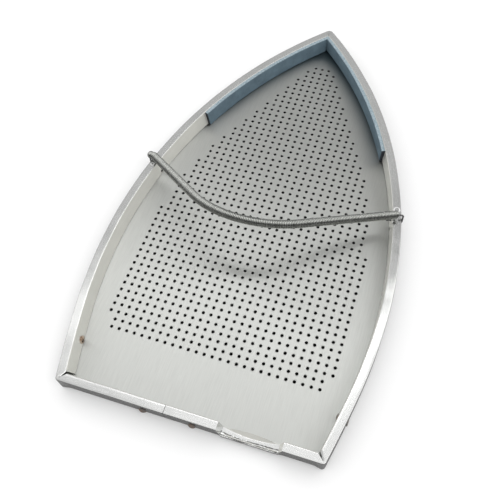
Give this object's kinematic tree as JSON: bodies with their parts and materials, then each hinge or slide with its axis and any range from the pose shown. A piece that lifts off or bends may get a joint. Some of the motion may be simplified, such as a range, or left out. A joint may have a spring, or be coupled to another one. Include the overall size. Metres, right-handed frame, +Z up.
{
  "type": "iron shoe cover",
  "caption": "Clip-on shoe for a steam iron: a pointed tray with a folded metal rim, a perforated plate on a smooth sole sheet, and a coil spring bowed across it from rim to rim.",
  "frame": {"origin": "middle of the box round the part, on the underside of the sole sheet", "axes": "+Y from the heel to the nose, +X to the right seen from the heel, +Z up out of the tray"},
  "size_m": [0.1476, 0.2565, 0.0327],
  "materials": {
    "rim_metal": "mill finish, faint lengthwise draw lines",
    "plate_metal": "brushed from heel to nose",
    "sole_sheet": "smooth, low friction",
    "strip": "matt blue-grey foam",
    "rivet": "rusted steel",
    "spring_steel": "bright drawn wire"
  },
  "bodies": {
    "tray": {"rim_frame": "rim_metal", "sole_plate": "plate_metal", "sole_sheet": "sole_sheet", "nose_strip_left": "strip", "nose_strip_right": "strip", "joint_strap": "plate_metal", "heel_rivet_left": "rivet", "heel_rivet_right": "rivet", "side_rivet_left": "rivet", "side_rivet_right": "rivet", "spring_hook_left": "spring_steel", "spring_hook_right": "spring_steel"},
    "spring": {"retaining_spring": "spring_steel"}
  },
  "joints": [
    {"name": "spring_swing", "type": "hinge", "parent": "tray", "child": "spring", "pos_m": [0, 0.00255, 0.01285], "axis": [-0.9999, 0.0105, 0], "range_deg": [-22, 140]}
  ]
}
